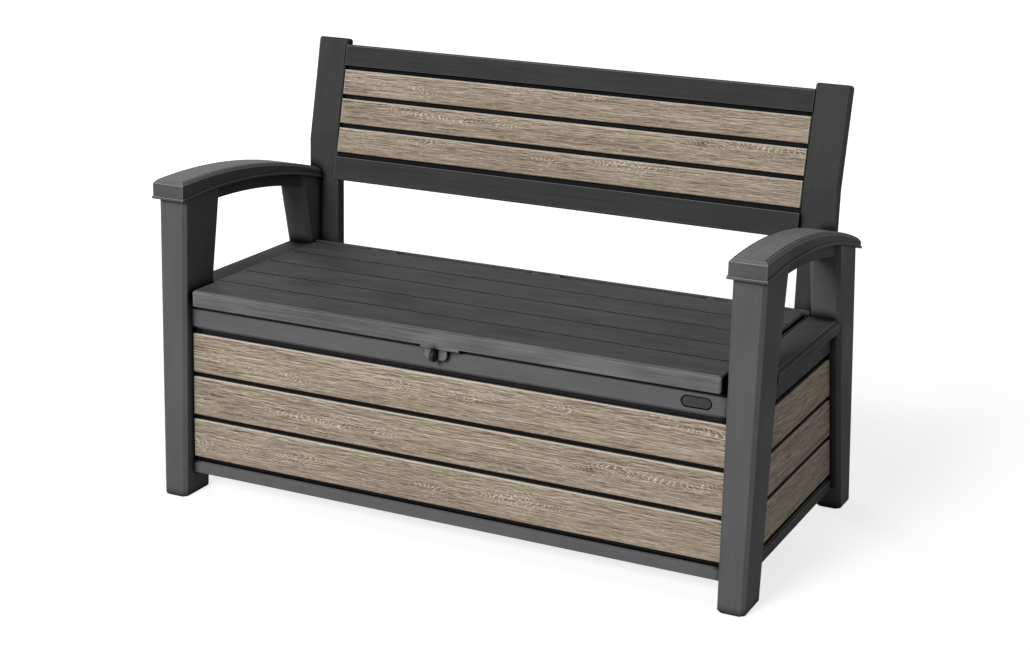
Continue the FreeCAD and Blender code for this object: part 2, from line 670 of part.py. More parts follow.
# Seat lid: one shell moulded as five boards, with ribs below, hinge knuckles and a lip above the lock.
def lid_panel():
    body = new_body("lid_panel", z="seat_height")
    length = "(lid_rear - lid_front)"
    top = rectangle("-lid_half", "lid_half", "lid_front", "lid_rear")
    grow(body, outline(body, "top", "XY", top), "lid_skirt", reverse=True)
    front_corners = [lies_at([("X", f"{side} * lid_half"), ("Y", "lid_front")]) for side in SIDES.values()]
    dress(body, "Fillet", "lid_corner", any_of(*front_corners))
    dress(body, "Chamfer", "lid_chamfer", lies_at([("Z", "0")]))
    near, far = "lid_front + lid_wall", "lid_rear - lid_wall"
    room = rectangle("-lid_half + lid_wall", "lid_half - lid_wall", near, far)
    cut(body, outline(body, "hollow", "XY", room, offset="-lid_skirt"), "lid_skirt - lid_skin", reverse=True)
    rib = rectangle("-3 * lid_rib_step - lid_rib / 2", "-3 * lid_rib_step + lid_rib / 2", near, far)
    ribs = grow(body, outline(body, "rib", "XY", rib, offset="-lid_skin"), "lid_rib_depth", reverse=True)
    repeat(body, ribs, "X", "6 * lid_rib_step", 7)
    first = f"(lid_front + {length} / 5)"
    groove = rectangle("-lid_half", "lid_half", f"{first} - lid_groove / 2", f"{first} + lid_groove / 2")
    grooves = cut(body, outline(body, "groove", "XY", groove), "lid_groove_depth")
    repeat(body, grooves, "Y", f"3 * {length} / 5", 4)
    lip = rectangle("-lid_lip_half", "lid_lip_half", "lid_front", near)
    grow(body, outline(body, "lip", "XY", lip, offset="-lid_skirt"), "lid_lip_height", reverse=True)
    axis = [("hinge_y", "-hinge_drop")]
    link = rectangle(far, "hinge_y", "-hinge_drop - hinge_radius", "-lid_chamfer")
    for name, place_along in HINGES.items():
        x = f"{place_along} * hinge_spread"
        arm = outline(body, f"{name}_arm", "YZ", link, offset=x)
        eye = circles(body, f"{name}_knuckle", "YZ", axis, "hinge_radius", offset=x)
        bore = circles(body, f"{name}_bore", "YZ", axis, "pin_radius + pin_clearance", offset=x)
        grow(body, arm, "knuckle_width", symmetric=True)
        grow(body, eye, "knuckle_width", symmetric=True)
        cut(body, bore, "2 * knuckle_width", symmetric=True)


def lid_hasp():
    body = new_body("lid_hasp", x="lock_shift", z="lid_bottom")
    back = "lid_front + lid_wall"
    tongue = rectangle("-hasp_width / 2", "hasp_width / 2", "-hasp_drop", "hasp_grip")
    grow(body, outline(body, "tongue", "XZ", tongue, offset=f"-({back})"), "hasp_thickness", reverse=True)
    corners = [lies_at([("X", f"{side} * hasp_width / 2"), ("Z", "-hasp_drop")]) for side in SIDES.values()]
    dress(body, "Fillet", "hasp_corner", any_of(*corners))
    half = "(staple_width / 2 + staple_gap)"
    top = "(staple_height + staple_radius + staple_gap - lid_bottom)"
    slot = rectangle(f"-{half}", half, "-2 * hasp_drop", top)
    cut(body, outline(body, "slot", "XZ", slot), "2 * depth", symmetric=True)


def lock_staple():
    body = new_body("lock_staple", x="lock_shift", z="staple_height")
    eye = "(wall_setback - staple_reach)"
    plate_front = "(wall_setback - staple_plate)"
    plate = rectangle("-staple_plate_width / 2", "staple_plate_width / 2", "-staple_plate_height / 2",
                      "staple_plate_height / 2")
    grow(body, outline(body, "plate", "XZ", plate, offset=f"-{plate_front}"), "staple_plate", reverse=True)
    tongue = rectangle(eye, plate_front, "-staple_radius", "staple_radius")
    grow(body, outline(body, "tongue", "YZ", tongue), "staple_width", symmetric=True)
    grow(body, circles(body, "ring", "YZ", [(eye, "0")], "staple_radius"), "staple_width", symmetric=True)
    cut(body, circles(body, "eye", "YZ", [(eye, "0")], "eye_radius"), "2 * staple_width", symmetric=True)


# Backrest: bent posts behind the rear wall, and a moulded panel with rails between them.
def slope_y(along, into):
    return f"(back_setback + ({along}) * sin(recline) + ({into}) * cos(recline))"


def slope_z(along, into):
    return f"(back_base + ({along}) * cos(recline) - ({into}) * sin(recline))"


def back_post(name, side):
    body = new_body(f"{name}_back_post", x=f"{side} * back_half")
    step = "(seat_height - post_step_drop)"
    bend = "(back_base + (post_front - back_setback) / tan(recline))"
    rear_bend = "(back_base + (post_back - back_setback - post_depth / cos(recline)) / tan(recline))"
    corners = [("rear_face", "post_foot"), ("rear_face", step), ("post_front", f"{step} + post_step"),
               ("post_front", bend), (slope_y("post_length", "0"), slope_z("post_length", "0")),
               (slope_y("post_length", "post_depth"), slope_z("post_length", "post_depth")),
               ("post_back", rear_bend), ("post_back", "post_foot")]
    grow(body, outline(body, "profile", "YZ", corners), "post_width", reverse=side < 0)
    tip = slope_z("post_length", "post_depth")
    dress(body, "Chamfer", "post_chamfer", lambda edge: edge.BoundBox.ZMax > size_of(tip) - 0.01)
    notch = rectangle(f"{side} * post_tongue", f"{side} * 2 * post_width", "0", "post_shoulder")
    cut(body, outline(body, "notch", "XZ", notch), "2 * depth", symmetric=True)
    holes = [(f"{side} * post_tongue / 2", z) for z in ("bolt_low", "bolt_high")]
    bores = circles(body, "bolt_holes", "XZ", holes, "bolt_radius + bolt_clearance")
    cut(body, bores, "2 * depth", symmetric=True)


def lean(body):
    """Tilts a body with the backrest."""
    body.Placement.Rotation = Rotation(Vector(1, 0, 0), -size_of("recline"))
    body.setExpression("Placement.Rotation.Angle", bound("-recline"))


def backrest_panel():
    body = new_body("backrest_panel", y="front + back_setback", z="back_base")
    lean(body)
    web = "(back_bay + back_web)"
    rear = "back_thickness"
    section = [("0", "back_sill_bottom"), ("0", "back_sill_top"), ("back_bay", "back_sill_top"),
               ("back_bay", "back_rail_bottom"), ("0", "back_rail_bottom"), ("0", "back_rail_top"),
               (rear, "back_rail_top"), (rear, "back_rail_bottom"), (web, "back_rail_bottom"),
               (web, "back_sill_top"), (rear, "back_sill_top"), (rear, "back_sill_bottom")]
    grow(body, outline(body, "section", "YZ", section), "2 * back_half", symmetric=True)
    edges = [lies_at([("Y", "0"), ("Z", z)]) for z in ("back_sill_bottom", "back_rail_top")]
    dress(body, "Chamfer", "back_chamfer", any_of(*edges))


def backrest_plank(level):
    body = new_body(f"backrest_plank_{LEVELS[level]}", y="front + back_setback", z="back_base")
    lean(body)
    low = f"(back_plank_first + {level} * (back_plank_height + back_plank_gap))"
    half = "(back_half - back_plank_end_gap)"
    face = "back_plank_setback"
    corners = rectangle(f"-{half}", half, low, f"{low} + back_plank_height")
    board = outline(body, "face", "XZ", corners, offset=f"-{face}")
    grow(body, board, "back_bay - back_plank_setback", reverse=True)
    round_front(body, "Y", face)


# Hinge pins, and the bolts and nuts that hold the posts to the rear wall.
def bolt_places():
    return [(f"{side} * (back_half + post_tongue / 2)", z)
            for side in SIDES.values() for z in ("bolt_low", "bolt_high")]


def rod(name, radius, length, x, y, z, turn):
    """A cylinder from a point of the bench, turned to lie along an axis."""
    cylinder = doc.addObject("Part::Cylinder", name)
    cylinder.Placement.Rotation = turn
    for key, formula in (("Radius", radius), ("Height", length), ("Placement.Base.x", x),
                         ("Placement.Base.y", f"front + {y}"), ("Placement.Base.z", z)):
        cylinder.setExpression(key, bound(formula))
    return cylinder


def hinge_pin(name, place_along):
    half = "(knuckle_width / 2 + lug_gap + lug_width + pin_end)"
    along_x = Rotation(Vector(0, 1, 0), 90)
    end = f"{place_along} * hinge_spread - {half}"
    pin = rod(f"hinge_pin_{name}", "pin_radius", f"2 * {half}", end, "hinge_y", "hinge_z", along_x)
    pin.Label = f"hinge_pin_{name}"
    nodes.append(pin)


def group(label, pieces):
    compound = doc.addObject("Part::Compound", label)
    compound.Label = label
    compound.Links = pieces
    nodes.append(compound)


def bolts_and_nuts():
    along_y = Rotation(Vector(1, 0, 0), -90)
    bolts = []
    nuts = []
    nut_end = "(rear_in - nut_height)"
    tail = f"({nut_end} - bolt_tail)"
    for number, (x, z) in enumerate(bolt_places()):
        shank = rod(f"shank_{number}", "bolt_radius", f"post_back - {tail}", x, tail, z, along_y)
        head = rod(f"head_{number}", "bolt_head_radius", "bolt_head", x, "post_back", z, along_y)
        bolt = doc.addObject("Part::Fuse", f"bolt_{number}")
        bolt.Base, bolt.Tool = shank, head
        bolts.append(bolt)
        prism = doc.addObject("Part::Prism", f"nut_prism_{number}")
        prism.Polygon = 6
        prism.Placement.Rotation = along_y
        for key, formula in (("Circumradius", "nut_radius"), ("Height", "nut_height"),
                             ("Placement.Base.x", x), ("Placement.Base.y", f"front + {nut_end}"),
                             ("Placement.Base.z", z)):
            prism.setExpression(key, bound(formula))
        bore = rod(f"nut_bore_{number}", "bolt_radius + pin_clearance", "nut_height", x, nut_end, z, along_y)
        nut = doc.addObject("Part::Cut", f"nut_{number}")
        nut.Base, nut.Tool = prism, bore
        nuts.append(nut)
    group("back_bolts", bolts)
    group("back_nuts", nuts)


for name, side in SIDES.items():
    leg("front", name, side)
    leg("rear", name, side)
    arm_beam(name, side)
    armrest(name, side)
    side_panel(name, side)
    back_post(name, side)
    for level in range(3):
        side_plank(name, side, level)
front_panel()
rear_panel()
floor_panel()
backrest_panel()
for level in range(3):
    front_plank(level)
    backrest_plank(level)
lid_panel()
lid_hasp()
lock_staple()
for name, place_along in HINGES.items():
    hinge_pin(name, place_along)
bolts_and_nuts()
doc.recompute()

for item in doc.Objects:
    if {"Invalid", "Error"} & set(item.State):
        raise RuntimeError(f"{item.Name} failed: {item.State}")
for node in nodes:
    if node.Shape.isNull() or not node.Shape.isValid():
        raise RuntimeError(f"{node.Label} has no valid shape")

os.makedirs("parts", exist_ok=True)
for node in nodes:
    node.Shape.exportStep(f"parts/{node.Label}.step")
print(len(nodes), "sub-parts")
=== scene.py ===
import math
import bmesh
import bpy
from mathutils import Matrix, Vector


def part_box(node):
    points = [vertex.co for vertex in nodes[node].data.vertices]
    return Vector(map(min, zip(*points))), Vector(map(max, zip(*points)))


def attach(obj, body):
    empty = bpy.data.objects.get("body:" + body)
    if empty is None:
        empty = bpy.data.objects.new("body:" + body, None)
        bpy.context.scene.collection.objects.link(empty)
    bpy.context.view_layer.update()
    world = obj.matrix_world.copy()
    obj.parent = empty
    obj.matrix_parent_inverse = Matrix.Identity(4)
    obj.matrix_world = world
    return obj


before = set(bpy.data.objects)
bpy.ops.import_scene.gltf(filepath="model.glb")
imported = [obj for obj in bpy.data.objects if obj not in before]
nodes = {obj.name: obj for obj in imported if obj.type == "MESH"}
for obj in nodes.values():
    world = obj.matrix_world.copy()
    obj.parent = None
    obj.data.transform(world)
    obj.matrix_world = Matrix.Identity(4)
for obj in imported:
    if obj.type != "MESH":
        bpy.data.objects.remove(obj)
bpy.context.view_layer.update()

scene = bpy.context.scene
scene.view_settings.view_transform = "Standard"


# Legs: four hollow resin mouldings, wider at the top than at the foot, with chamfered corners.
# The mould leaves a fine brushed grain that runs up the leg, and its edges are slightly rounded.
# The box walls stand between them, cut to their faces, and the armrests hang over their tops.
def put(tree, kind, sockets=None, **settings):
    """Adds a node, sets its properties, and fills or links its inputs by name or number."""
    node = tree.nodes.new(kind)
    for key, value in settings.items():
        setattr(node, key, value)
    for key, value in (sockets or {}).items():
        if isinstance(value, bpy.types.NodeSocket):
            tree.links.new(value, node.inputs[key])
        else:
            node.inputs[key].default_value = value
    return node


def math_node(tree, operation, *values):
    return put(tree, "ShaderNodeMath", dict(enumerate(values)), operation=operation).outputs[0]


def ranged(tree, value, low, high, start=0.0, end=1.0):
    """A value carried from low..high to start..end, and held at the ends."""
    limits = {"From Min": low, "From Max": high, "To Min": start, "To Max": end}
    return put(tree, "ShaderNodeMapRange", {"Value": value, **limits}).outputs[0]


def stretched_noise(tree, vector, along, across, depth, detail=3.0, roughness=0.55):
    """Noise drawn out along the first coordinate; the three numbers are frequencies per metre."""
    place = put(tree, "ShaderNodeMapping", {"Vector": vector, "Scale": (along, across, depth)})
    noise = put(tree, "ShaderNodeTexNoise", {"Vector": place.outputs[0], "Scale": 1.0,
                                             "Detail": detail, "Roughness": roughness})
    return noise.outputs["Fac"]


def new_group(name, inputs, outputs):
    """An empty shader group. An input is a number with its start value, or a vector if None."""
    group = bpy.data.node_groups.new(name, "ShaderNodeTree")
    for label, start in inputs.items():
        kind = "NodeSocketVector" if start is None else "NodeSocketFloat"
        socket = group.interface.new_socket(label, in_out="INPUT", socket_type=kind)
        if start is not None:
            socket.default_value = start
    for label, kind in outputs.items():
        group.interface.new_socket(label, in_out="OUTPUT", socket_type=f"NodeSocket{kind}")
    return group, group.nodes.new("NodeGroupInput").outputs, group.nodes.new("NodeGroupOutput")


def give_out(group, result, **values):
    for label, value in values.items():
        group.links.new(value, result.inputs[label])


def make_moulded_grain():
    """Brushed mould grain along the first coordinate: a tone near 0.5, a height and clouds."""
    group, given, result = new_group("moulded_grain", {"Vector": None},
                                     {"Tone": "Float", "Height": "Float", "Mottle": "Float"})
    fine = stretched_noise(group, given["Vector"], 9.0, 620.0, 620.0, detail=2.0)
    broad = stretched_noise(group, given["Vector"], 3.0, 120.0, 120.0)
    mottle = stretched_noise(group, given["Vector"], 6.0, 13.0, 13.0)
    streaks = math_node(group, "MULTIPLY", broad, 0.4)
    streaks = math_node(group, "MULTIPLY_ADD", fine, 0.6, streaks)
    tone = math_node(group, "MULTIPLY", streaks, 0.7)
    tone = math_node(group, "MULTIPLY_ADD", mottle, 0.3, tone)
    give_out(group, result, Tone=tone, Height=streaks, Mottle=mottle)
    return group


def make_rounded_edges():
    """Softened edges: the turned normal, its rise, and a mask of edges that are partly rubbed and
    partly a painted highlight, stronger on edges that face up.
    """
    corner_reach = 0.006
    group, given, result = new_group("rounded_edges", {"Radius": 0.0015},
                                     {"Normal": "Vector", "Edge": "Float", "Rise": "Float"})
    bevel = put(group, "ShaderNodeBevel", {"Radius": given["Radius"]}, samples=8).outputs[0]
    flat = group.nodes.new("ShaderNodeNewGeometry").outputs["Normal"]
    match = put(group, "ShaderNodeVectorMath", {0: bevel, 1: flat}, operation="DOT_PRODUCT")
    edge = ranged(group, math_node(group, "SUBTRACT", 1.0, match.outputs["Value"]), 0.002, 0.02)
    open_air = put(group, "ShaderNodeAmbientOcclusion", {"Distance": corner_reach}, samples=6)
    outer = ranged(group, open_air.outputs["AO"], 0.6, 0.85)
    own = put(group, "ShaderNodeVectorTransform", {"Vector": bevel}, vector_type="NORMAL",
              convert_from="WORLD", convert_to="OBJECT")
    rise = put(group, "ShaderNodeSeparateXYZ", {"Vector": own.outputs[0]}).outputs["Z"]
    # Edges that face up are weighted more, as a painted highlight of light from above.
    lit_from_above = ranged(group, rise, -0.3, 0.35, start=0.1)
    worn_lit_edge = math_node(group, "MULTIPLY", math_node(group, "MULTIPLY", edge, outer), lit_from_above)
    give_out(group, result, Normal=bevel, Edge=worn_lit_edge, Rise=rise)
    return group


def make_gap_shade():
    """Painted shade in gaps narrower than the reach: 1 where more than Clear is open, 0 below Shut.
    """
    group, given, result = new_group("gap_shade", {"Reach": 0.03, "Shut": 0.45, "Clear": 0.85},
                                     {"Open": "Float"})
    open_air = put(group, "ShaderNodeAmbientOcclusion", {"Distance": given["Reach"]}, samples=8)
    level = ranged(group, open_air.outputs["AO"], given["Shut"], given["Clear"])
    give_out(group, result, Open=level)
    return group


moulded_grain = make_moulded_grain()
rounded_edges = make_rounded_edges()
gap_shade = make_gap_shade()


def place_group(tree, group, sockets):
    return put(tree, "ShaderNodeGroup", sockets, node_tree=group).outputs


def reordered(tree, order, turn):
    """Object coordinates with the axes in another order, so that the first follows the grain."""
    spot = tree.nodes.new("ShaderNodeTexCoord").outputs["Object"]
    turned = put(tree, "ShaderNodeMapping", {"Vector": spot, "Rotation": turn})
    parts = put(tree, "ShaderNodeSeparateXYZ", {"Vector": turned.outputs[0]}).outputs
    swapped = {slot: parts[axis] for slot, axis in zip("XYZ", order)}
    return put(tree, "ShaderNodeCombineXYZ", swapped).outputs[0]


def new_material(name):
    material = bpy.data.materials.new(name)
    material.use_nodes = True
    tree = material.node_tree
    tree.nodes.clear()
    surface = tree.nodes.new("ShaderNodeBsdfPrincipled")
    put(tree, "ShaderNodeOutputMaterial", {"Surface": surface.outputs[0]})
    return material, tree, surface


def blended(tree, factor, first, second):
    sockets = {"Factor": factor, "A": first, "B": second}
    return put(tree, "ShaderNodeMix", sockets, data_type="RGBA").outputs["Result"]


def lay_on(tree, surface, colour, roughness, relief):
    """Links a finish to the shader; relief holds the sockets of its bump."""
    tree.links.new(colour, surface.inputs["Base Color"])
    tree.links.new(roughness, surface.inputs["Roughness"])
    tree.links.new(put(tree, "ShaderNodeBump", relief).outputs[0], surface.inputs["Normal"])


def graphite(name, order, level, turn=(0.0, 0.0, 0.0), contrast=0.14, worn_lit_edge=0.2, edge_wear_and_highlight=0.5,
             relief=0.3, clouds=0.05, painted_top_light=0.0, gap=(0.03, 0.45, 0.85)):
    """Dark grey resin of the given level, with mould grain along the first axis of the order.

    It is paler on edges, partly wear and partly a painted highlight, paler or darker on faces
    that look up as painted light or shade from above, and nearly black in gaps as painted shade.
    """
    edge_radius, grain_depth, shine = 0.002, 0.0005, 0.03
    cool, cool_edge = 1.015, 1.01
    # Painted shade: gaps and grooves narrower than the reach turn near black.
    painted_gap_shade = (0.006, 0.006, 0.0065, 1.0)
    material, tree, surface = new_material(name)
    grain = place_group(tree, moulded_grain, {"Vector": reordered(tree, order, turn)})
    edges = place_group(tree, rounded_edges, {"Radius": edge_radius})
    gaps = place_group(tree, gap_shade, dict(zip(("Reach", "Shut", "Clear"), gap)))
    ramp = put(tree, "ShaderNodeValToRGB", {"Fac": grain["Tone"]})
    shifts = (-contrast, contrast)
    for stop, position, shift in zip(ramp.color_ramp.elements, (0.36, 0.64), shifts):
        grey = level * (1.0 + shift)
        stop.position = position
        stop.color = (grey, grey, grey * cool, 1.0)
    cloud = ranged(tree, grain["Mottle"], 0.36, 0.6, 1.0 - clouds, 1.0 + 0.4 * clouds)
    # Painted light and shade from above: faces that look up are made paler, or darker for a
    # negative value.
    sunlit = ranged(tree, edges["Rise"], 0.6, 0.92, 1.0, 1.0 + painted_top_light)
    mottled = put(tree, "ShaderNodeVectorMath", {
        0: ramp.outputs["Color"], "Scale": math_node(tree, "MULTIPLY", cloud, sunlit)},
        operation="SCALE")
    # Edges are paler, partly wear and partly a painted highlight.
    worn_and_lit = blended(tree, math_node(tree, "MULTIPLY", edges["Edge"], edge_wear_and_highlight), mottled.outputs[0],
                   (worn_lit_edge, worn_lit_edge, worn_lit_edge * cool_edge, 1.0))
    lay_on(tree, surface, blended(tree, gaps["Open"], painted_gap_shade, worn_and_lit),
           ranged(tree, grain["Mottle"], 0.3, 0.7, 0.55, 0.72),
           {"Strength": relief, "Distance": grain_depth, "Height": grain["Height"],
            "Normal": edges["Normal"]})
    surface.inputs["Specular IOR Level"].default_value = shine
    return material


def dress(material, *names):
    for name in names:
        nodes[name].data.materials.clear()
        nodes[name].data.materials.append(material)


upright_resin = graphite("graphite_upright", "ZXY", 0.118, contrast=0.07, worn_lit_edge=0.17, relief=0.2)
dress(upright_resin, "front_left_leg", "front_right_leg", "rear_left_leg", "rear_right_leg")


# Armrests and the beams below them: arched resin channels pressed over the leg tops, with the
# beam as a stiffener between the legs. The grain follows the arm from front to back, and the
# upper faces of the armrests are painted paler as painted light from above.
arm_resin = graphite("graphite_arm", "YXZ", 0.104, worn_lit_edge=0.46, edge_wear_and_highlight=0.75, painted_top_light=1.6)
dress(arm_resin, "left_armrest", "right_armrest")
# The beams get a darker grey than the armrests as painted shade under the arms.
beam_resin_painted_shade = graphite("graphite_beam_painted_shade", "YXZ", 0.066)
dress(beam_resin_painted_shade, "left_arm_beam", "right_arm_beam")


# Box walls: moulded resin panels with a top rail and a sill, locked between the legs. The front
# and rear walls and the floor have grain along the bench, the side walls and their seat-level
# ledge have it front to back.
# Painted shade makes the gaps and grooves of these walls near black.
long_resin = graphite("graphite_long", "XZY", 0.132, contrast=0.1, worn_lit_edge=0.2, edge_wear_and_highlight=0.2,
                      gap=(0.025, 0.55, 0.85))
dress(long_resin, "front_panel", "rear_panel", "floor_panel")
# The side walls get a darker grey as painted shade, paler upward faces as painted light from above,
# and painted shade in gaps and by the legs.
side_resin_painted_light = graphite("graphite_side_painted_light", "YXZ", 0.062, worn_lit_edge=0.4, edge_wear_and_highlight=0.8, painted_top_light=0.7,
                      gap=(0.05, 0.45, 0.85))
dress(side_resin_painted_light, "left_side_panel", "right_side_panel")


# Wood-look planks: thin resin boards set in the bays, printed and embossed as weathered oak.
# Each board has a wandering centre line with arched growth rings, long streaks, short dark
# pores, pale flecks and a few cracks.
def make_oak_print():
    """Weathered oak for rows of boards, from places along, across and through them in metres."""
    group, given, result = new_group(
        "oak_print", {"Vector": None, "Board Start": 0.0, "Board Step": 0.1, "Series": 0.0},
        {"Color": "Color", "Height": "Float", "Roughness": "Float"})

    # each board has its own place in the noise
    shift_along, shift_through = 17.0, 3.7
    parts = put(group, "ShaderNodeSeparateXYZ", {"Vector": given["Vector"]}).outputs
    across = math_node(group, "SUBTRACT", parts["Y"], given["Board Start"])
    row = math_node(group, "DIVIDE", across, given["Board Step"])
    board = math_node(group, "ADD", math_node(group, "FLOOR", row), given["Series"])
    low = math_node(group, "MULTIPLY", math_node(group, "FRACT", row), given["Board Step"])
    dice = put(group, "ShaderNodeTexWhiteNoise", {"W": board}, noise_dimensions="1D")
    chance = dice.outputs["Value"]
    shifted = math_node(group, "MULTIPLY_ADD", chance, shift_along, parts["X"])
    through = math_node(group, "MULTIPLY", board, shift_through)
    spot = put(group, "ShaderNodeCombineXYZ", {"X": shifted, "Y": low, "Z": through})
    vector = spot.outputs[0]

    # arched rings about a centre line that wanders across the board
    board_middle, wander_width, backward_share = 0.048, 0.16, 0.45
    ring_spacing, ring_slope, ring_tip, ring_waver = 0.012, 2.6, 0.005, 0.07
    wander = stretched_noise(group, vector, 1.3, 0.0, 1.0, detail=2.0)
    aside = math_node(group, "SUBTRACT", wander, 0.5)
    centre = math_node(group, "MULTIPLY_ADD", aside, wander_width, board_middle)
    offset = math_node(group, "SUBTRACT", low, centre)
    heading = math_node(group, "SIGN", math_node(group, "SUBTRACT", chance, backward_share))
    spread = math_node(group, "MULTIPLY_ADD", offset, offset, ring_tip ** 2)
    spread = math_node(group, "MULTIPLY", math_node(group, "SQRT", spread), heading)
    waver = stretched_noise(group, vector, 16.0, 60.0, 1.0)
    path = math_node(group, "MULTIPLY_ADD", spread, ring_slope, shifted)
    path = math_node(group, "MULTIPLY_ADD", waver, ring_waver, path)
    angle = math_node(group, "MULTIPLY", path, 2.0 * math.pi / ring_spacing)
    rings = ranged(group, math_node(group, "SINE", angle), 0.45, 1.0, start=-0.16)
    near = ranged(group, math_node(group, "ABSOLUTE", offset), 0.004, 0.026, 1.0, 0.0)
    patches = stretched_noise(group, vector, 6.0, 16.0, 1.0, detail=2.0)
    patch = ranged(group, patches, 0.5, 0.64)
    arches = math_node(group, "MULTIPLY", math_node(group, "MULTIPLY", near, patch), rings)

    # streaks along the board: broad bands, grain lines and short fine strokes
    broad = stretched_noise(group, vector, 2.2, 42.0, 1.0)
    lines = stretched_noise(group, vector, 10.0, 290.0, 1.0, roughness=0.6)
    fine = stretched_noise(group, vector, 30.0, 520.0, 1.0, roughness=0.65)
    tone = 0.5
    for streak, weight in ((broad, 0.38), (lines, 0.95), (fine, 1.5)):
        change = math_node(group, "SUBTRACT", streak, 0.5)
        tone = math_node(group, "MULTIPLY_ADD", change, weight, tone)
    tone = math_node(group, "MULTIPLY_ADD", arches, 0.5, tone)
    ramp = put(group, "ShaderNodeValToRGB", {"Fac": tone})
    stops = ((0.10, (0.095, 0.070, 0.048)), (0.34, (0.262, 0.208, 0.153)),
             (0.56, (0.400, 0.329, 0.252)), (0.90, (0.720, 0.635, 0.520)))
    elements = ramp.color_ramp.elements
    elements.remove(elements[1])
    for number, (position, brown) in enumerate(stops):
        stop = elements[0] if number == 0 else elements.new(position)
        stop.position = position
        stop.color = (*brown, 1.0)

    # short dark pores, pale flecks and long dark cracks, each laid over the one before
    pores = stretched_noise(group, vector, 30.0, 500.0, 1.0, detail=1.0)
    flecks = stretched_noise(group, vector, 55.0, 330.0, 2.0, detail=2.0)
    cracks = stretched_noise(group, vector, 8.0, 95.0, 5.0, detail=4.0, roughness=0.65)
    pore = ranged(group, pores, 0.58, 0.68)
    marks = ((pore, 0.6, (0.10, 0.076, 0.052, 1.0)),
             (ranged(group, flecks, 0.63, 0.72), 0.6, (0.70, 0.63, 0.52, 1.0)),
             (ranged(group, cracks, 0.655, 0.73), 0.9, (0.04, 0.03, 0.022, 1.0)))
    colour = ramp.outputs["Color"]
    for mark, strength, tint in marks:
        colour = blended(group, math_node(group, "MULTIPLY", mark, strength), colour, tint)
    height = math_node(group, "SUBTRACT", tone, math_node(group, "MULTIPLY", pore, 0.6))
    give_out(group, result, Color=colour, Height=height,
             Roughness=ranged(group, tone, 0.2, 0.8, 0.72, 0.52))
    return group


oak_print = make_oak_print()


def oak(name, order, start, step, series=0.0, turn=(0.0, 0.0, 0.0)):
    """The printed oak on one row of boards, with paler edges and upper chamfers, partly wear and
    partly a painted highlight, and painted shade in the gaps.
    """
    edge_radius, emboss, emboss_depth, shine, edge_wear_and_highlight = 0.0025, 0.5, 0.0008, 0.09, 0.7
    worn_lit_cream, painted_gap_shade_brown = (0.74, 0.69, 0.61, 1.0), (0.02, 0.017, 0.013, 1.0)
    material, tree, surface = new_material(name)
    wood = place_group(tree, oak_print, {"Vector": reordered(tree, order, turn),
                                         "Board Start": start, "Board Step": step,
                                         "Series": series})
    edges = place_group(tree, rounded_edges, {"Radius": edge_radius})
    gaps = place_group(tree, gap_shade, {"Reach": 0.02, "Shut": 0.35, "Clear": 0.7})
    # Painted highlight: upward chamfers and edges are paler, partly with wear; the gaps get painted
    # shade.
    lit_from_above = ranged(tree, edges["Rise"], 0.32, 0.55)
    worn_lit_share = math_node(tree, "MULTIPLY", math_node(tree, "MAXIMUM", edges["Edge"], lit_from_above), edge_wear_and_highlight)
    worn_and_lit = blended(tree, worn_lit_share, wood["Color"], worn_lit_cream)
    lay_on(tree, surface, blended(tree, gaps["Open"], painted_gap_shade_brown, worn_and_lit), wood["Roughness"],
           {"Strength": emboss, "Distance": emboss_depth, "Height": wood["Height"],
            "Normal": edges["Normal"]})
    surface.inputs["Specular IOR Level"].default_value = shine
    return material


LEVELS = ("bottom", "middle", "top")
WALL_MARGIN = 0.004
wall_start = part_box("front_plank_bottom")[0].z - WALL_MARGIN
wall_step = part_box("front_plank_middle")[0].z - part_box("front_plank_bottom")[0].z
front_oak = oak("oak_front", "XZY", wall_start, wall_step)
side_oak = oak("oak_side", "YZX", wall_start, wall_step, series=7.0)
for level in LEVELS:
    dress(front_oak, f"front_plank_{level}")
    dress(side_oak, f"left_side_plank_{level}", f"right_side_plank_{level}")


# Seat lid: one resin moulding with five boards, ribs below and hinge knuckles behind. Its forked
# hasp is a paler moulding of its own, snapped behind the front skirt.
# The lid's upward faces are painted darker as painted shade, and its board grooves near black as
# painted shade.
lid_resin = graphite("graphite_lid", "XYZ", 0.152, contrast=0.36, worn_lit_edge=0.27, edge_wear_and_highlight=0.8,
                     relief=0.5, clouds=0.12, painted_top_light=-0.3, gap=(0.014, 0.78, 0.99))
dress(lid_resin, "lid_panel")
hasp_resin = graphite("graphite_hasp", "ZXY", 0.2, contrast=0.06, worn_lit_edge=0.4, edge_wear_and_highlight=0.8,
                      relief=0.1)
dress(hasp_resin, "lid_hasp")


# Lock staple: an eye moulded in satin black resin, on a foot plate that is fixed to the face of
# the front rail. It stands out through the slot of the hasp.
def satin_black(name):
    black, worn_lit_black = (0.008, 0.008, 0.0085, 1.0), (0.05, 0.05, 0.052, 1.0)
    edge_radius, edge_wear_and_highlight, pit_depth, shine = 0.0012, 0.5, 0.0004, 0.25
    material, tree, surface = new_material(name)
    spot = tree.nodes.new("ShaderNodeTexCoord").outputs["Object"]
    pitted = put(tree, "ShaderNodeTexNoise", {"Vector": spot, "Scale": 900.0, "Detail": 3.0})
    pits = pitted.outputs["Fac"]
    edges = place_group(tree, rounded_edges, {"Radius": edge_radius})
    # Edges are paler, partly wear and partly a painted highlight.
    worn_lit_mask = math_node(tree, "MULTIPLY", edges["Edge"], edge_wear_and_highlight)
    lay_on(tree, surface, blended(tree, worn_lit_mask, black, worn_lit_black),
           ranged(tree, pits, 0.0, 1.0, 0.35, 0.55),
           {"Strength": 0.2, "Distance": pit_depth, "Height": pits, "Normal": edges["Normal"]})
    surface.inputs["Specular IOR Level"].default_value = shine
    return material


lock_black = satin_black("lock_black")
dress(lock_black, "lock_staple")


